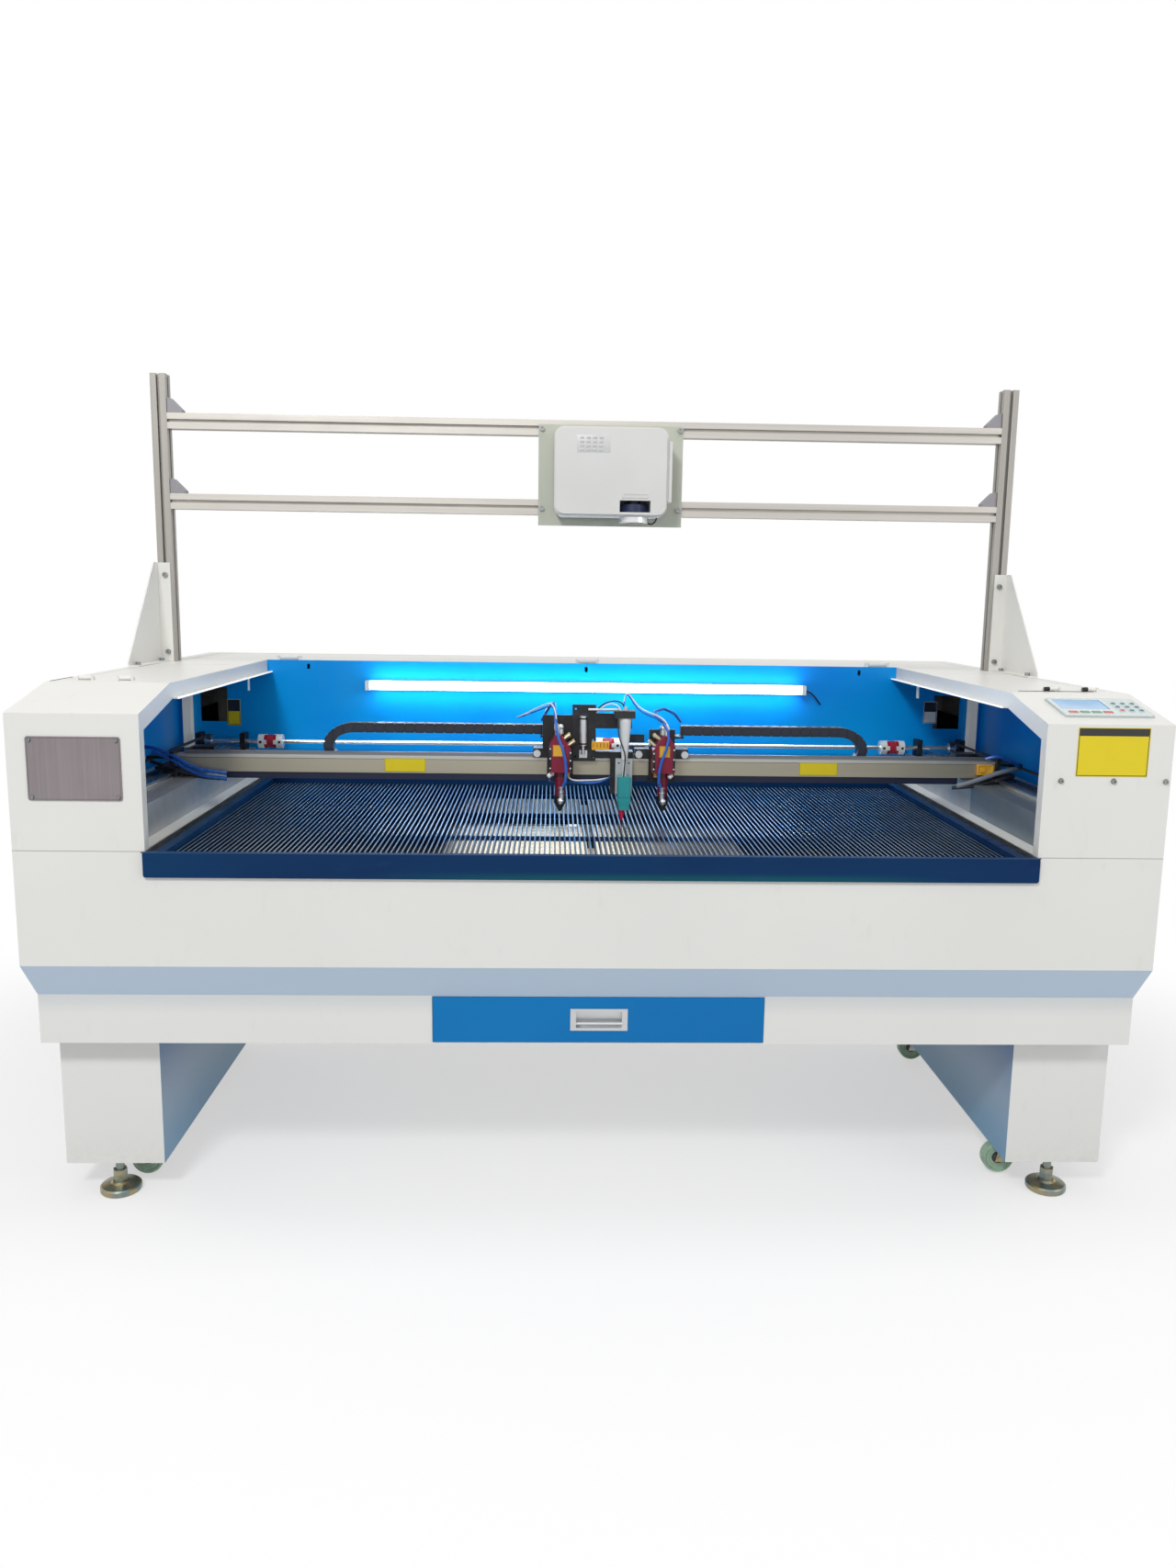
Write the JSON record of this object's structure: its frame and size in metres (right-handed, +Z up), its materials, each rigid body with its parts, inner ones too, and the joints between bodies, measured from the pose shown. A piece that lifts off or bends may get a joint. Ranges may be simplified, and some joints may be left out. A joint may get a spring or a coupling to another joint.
{
  "type": "carbon dioxide laser cutting machine",
  "caption": "Gantry laser cutter on two pedestals: knife-blade bed, two cutting heads and a marking valve on a belt-driven beam, rear tube housing, and a projector on a profile frame.",
  "frame": {"origin": "on the floor, at the middle of the machine's box", "axes": "+X to the operator's right, +Y from the front to the rear, +Z up"},
  "size_m": [2.3, 1.408, 1.85],
  "materials": {
    "white_paint": "satin powder coat",
    "blue_paint": "satin powder coat",
    "navy_paint": "satin powder coat",
    "grey_metal": "satin",
    "bright_steel": "ground",
    "blade_metal": "satin, darkened by use",
    "zinc": "zinc plated",
    "panel_plate": "membrane with a screen",
    "lamp_white": "opal",
    "aluminium": "anodised",
    "cast_alloy": "as cast",
    "projector_white": "fine grain",
    "black_plastic": "matte",
    "tube_glass": "clear",
    "black_metal": "anodised black",
    "belt_rubber": "matte",
    "wheel_cream": "smooth",
    "red_plastic": "smooth",
    "maroon_anodised": "anodised",
    "hose_blue": "smooth",
    "teal_paint": "anodised"
  },
  "bodies": {
    "frame": {"base_cabinet": "white_paint", "duct_floor": "white_paint", "pedestals": "white_paint", "tower_cover_left": "white_paint", "tower_cover_right": "white_paint", "back_panel": "blue_paint", "tube_housing": "white_paint", "rail_beams": "grey_metal", "y_guides": "bright_steel", "bed_frame": "navy_paint", "blade_grid": "blade_metal", "extraction_plates": "bright_steel", "levelling_feet": "zinc", "control_panel": "panel_plate", "nameplate": "grey_metal", "screws": "zinc", "lamp_tube": "lamp_white", "lamp_holder": "lamp_white", "uprights": "aluminium", "frame_rails": "aluminium", "corner_brackets": "cast_alloy", "gussets": "white_paint", "projector_plate": "white_paint", "projector_case": "projector_white", "laser_tubes": "tube_glass", "shaft_bearings": "black_metal", "y_belts": "belt_rubber"},
    "tube_lid": {"tube_lid": "white_paint"},
    "door_left": {"door_left": "white_paint"},
    "door_right": {"door_right": "white_paint"},
    "drawer": {"drawer": "blue_paint", "drawer_pull": "grey_metal"},
    "drive_shaft": {"drive_shaft": "bright_steel", "shaft_spiders": "red_plastic"},
    "focus_ring": {"projector_focus_ring": "black_plastic"},
    "gantry": {"gantry_beam": "aluminium", "gantry_ends": "black_metal", "x_motors": "black_metal", "chain_lower_left": "black_plastic", "chain_lower_right": "black_plastic"},
    "chain_left": {"chain_bend_left": "black_plastic"},
    "chain_right": {"chain_bend_right": "black_plastic"},
    "head_left": {"carriage_left": "black_metal", "laser_head_left": "maroon_anodised", "chain_upper_left": "black_plastic", "hose_left": "hose_blue"},
    "head_right": {"carriage_right": "black_metal", "laser_head_right": "maroon_anodised", "chain_upper_right": "black_plastic", "hose_right": "hose_blue"},
    "marker": {"marker_plate": "grey_metal", "marker_valve": "teal_paint"},
    "caster_fork_front_left": {"caster_fork_front_left": "zinc"},
    "caster_wheel_front_left": {"caster_wheel_front_left": "wheel_cream"},
    "caster_fork_front_right": {"caster_fork_front_right": "zinc"},
    "caster_wheel_front_right": {"caster_wheel_front_right": "wheel_cream"},
    "caster_fork_rear_left": {"caster_fork_rear_left": "zinc"},
    "caster_wheel_rear_left": {"caster_wheel_rear_left": "wheel_cream"},
    "caster_fork_rear_right": {"caster_fork_rear_right": "zinc"},
    "caster_wheel_rear_right": {"caster_wheel_rear_right": "wheel_cream"}
  },
  "joints": [
    {"name": "gantry_slide", "type": "slide", "parent": "frame", "child": "gantry", "axis": [0, 1, 0], "range_m": [-0.38, 0.34]},
    {"name": "chain_left_slide", "type": "slide", "parent": "gantry", "child": "chain_left", "axis": [1, 0, 0], "range_m": [-0.24, 0], "deforming": ["chain_lower_left"]},
    {"name": "head_left_slide", "type": "slide", "parent": "chain_left", "child": "head_left", "axis": [1, 0, 0], "range_m": [-0.24, 0], "deforming": ["chain_upper_left"]},
    {"name": "chain_right_slide", "type": "slide", "parent": "gantry", "child": "chain_right", "axis": [1, 0, 0], "range_m": [0, 0.24], "deforming": ["chain_lower_right"]},
    {"name": "head_right_slide", "type": "slide", "parent": "chain_right", "child": "head_right", "axis": [1, 0, 0], "range_m": [0, 0.24], "deforming": ["chain_upper_right"]},
    {"name": "marker_lift", "type": "slide", "parent": "head_left", "child": "marker", "axis": [0, 0, 1], "range_m": [-0.004, 0.018]},
    {"name": "shaft_spin", "type": "hinge", "parent": "frame", "child": "drive_shaft", "pos_m": [0, 0.3, 0.878], "axis": [1, 0, 0], "continuous": true},
    {"name": "tube_lid_hinge", "type": "hinge", "parent": "frame", "child": "tube_lid", "pos_m": [0, 0.377, 1.108], "axis": [1, 0, 0], "range_deg": [0, 95]},
    {"name": "door_left_hinge", "type": "hinge", "parent": "frame", "child": "door_left", "pos_m": [-1.0475, -0.438, 1.107], "axis": [1, 0, 0], "range_deg": [0, 100]},
    {"name": "door_right_hinge", "type": "hinge", "parent": "frame", "child": "door_right", "pos_m": [1.0475, -0.438, 1.107], "axis": [1, 0, 0], "range_deg": [0, 100]},
    {"name": "drawer_slide", "type": "slide", "parent": "frame", "child": "drawer", "axis": [0, -1, 0], "range_m": [0, 0.52]},
    {"name": "focus_turn", "type": "hinge", "parent": "frame", "child": "focus_ring", "pos_m": [0.119, 0.1754, 1.514], "axis": [0, 0, 1], "range_deg": [-50, 50]},
    {"name": "caster_swivel_front_left", "type": "hinge", "parent": "frame", "child": "caster_fork_front_left", "pos_m": [-0.962, -0.491, 0.1], "axis": [0, 0, 1], "continuous": true},
    {"name": "caster_roll_front_left", "type": "hinge", "parent": "caster_fork_front_left", "child": "caster_wheel_front_left", "pos_m": [-0.986, -0.491, 0.039], "axis": [0, 1, 0], "continuous": true},
    {"name": "caster_swivel_front_right", "type": "hinge", "parent": "frame", "child": "caster_fork_front_right", "pos_m": [0.962, -0.491, 0.1], "axis": [0, 0, 1], "continuous": true},
    {"name": "caster_roll_front_right", "type": "hinge", "parent": "caster_fork_front_right", "child": "caster_wheel_front_right", "pos_m": [0.938, -0.491, 0.039], "axis": [0, 1, 0], "continuous": true},
    {"name": "caster_swivel_rear_left", "type": "hinge", "parent": "frame", "child": "caster_fork_rear_left", "pos_m": [-0.962, 0.167, 0.1], "axis": [0, 0, 1], "continuous": true},
    {"name": "caster_roll_rear_left", "type": "hinge", "parent": "caster_fork_rear_left", "child": "caster_wheel_rear_left", "pos_m": [-0.986, 0.167, 0.039], "axis": [0, 1, 0], "continuous": true},
    {"name": "caster_swivel_rear_right", "type": "hinge", "parent": "frame", "child": "caster_fork_rear_right", "pos_m": [0.962, 0.167, 0.1], "axis": [0, 0, 1], "continuous": true},
    {"name": "caster_roll_rear_right", "type": "hinge", "parent": "caster_fork_rear_right", "child": "caster_wheel_rear_right", "pos_m": [0.938, 0.167, 0.039], "axis": [0, 1, 0], "continuous": true}
  ],
  "couplings": [
    {"joint": "head_left_slide", "follows": "chain_left_slide", "ratio": 1},
    {"joint": "head_right_slide", "follows": "chain_right_slide", "ratio": 1},
    {"joint": "shaft_spin", "follows": "gantry_slide", "rad_per_m": -62.5}
  ]
}
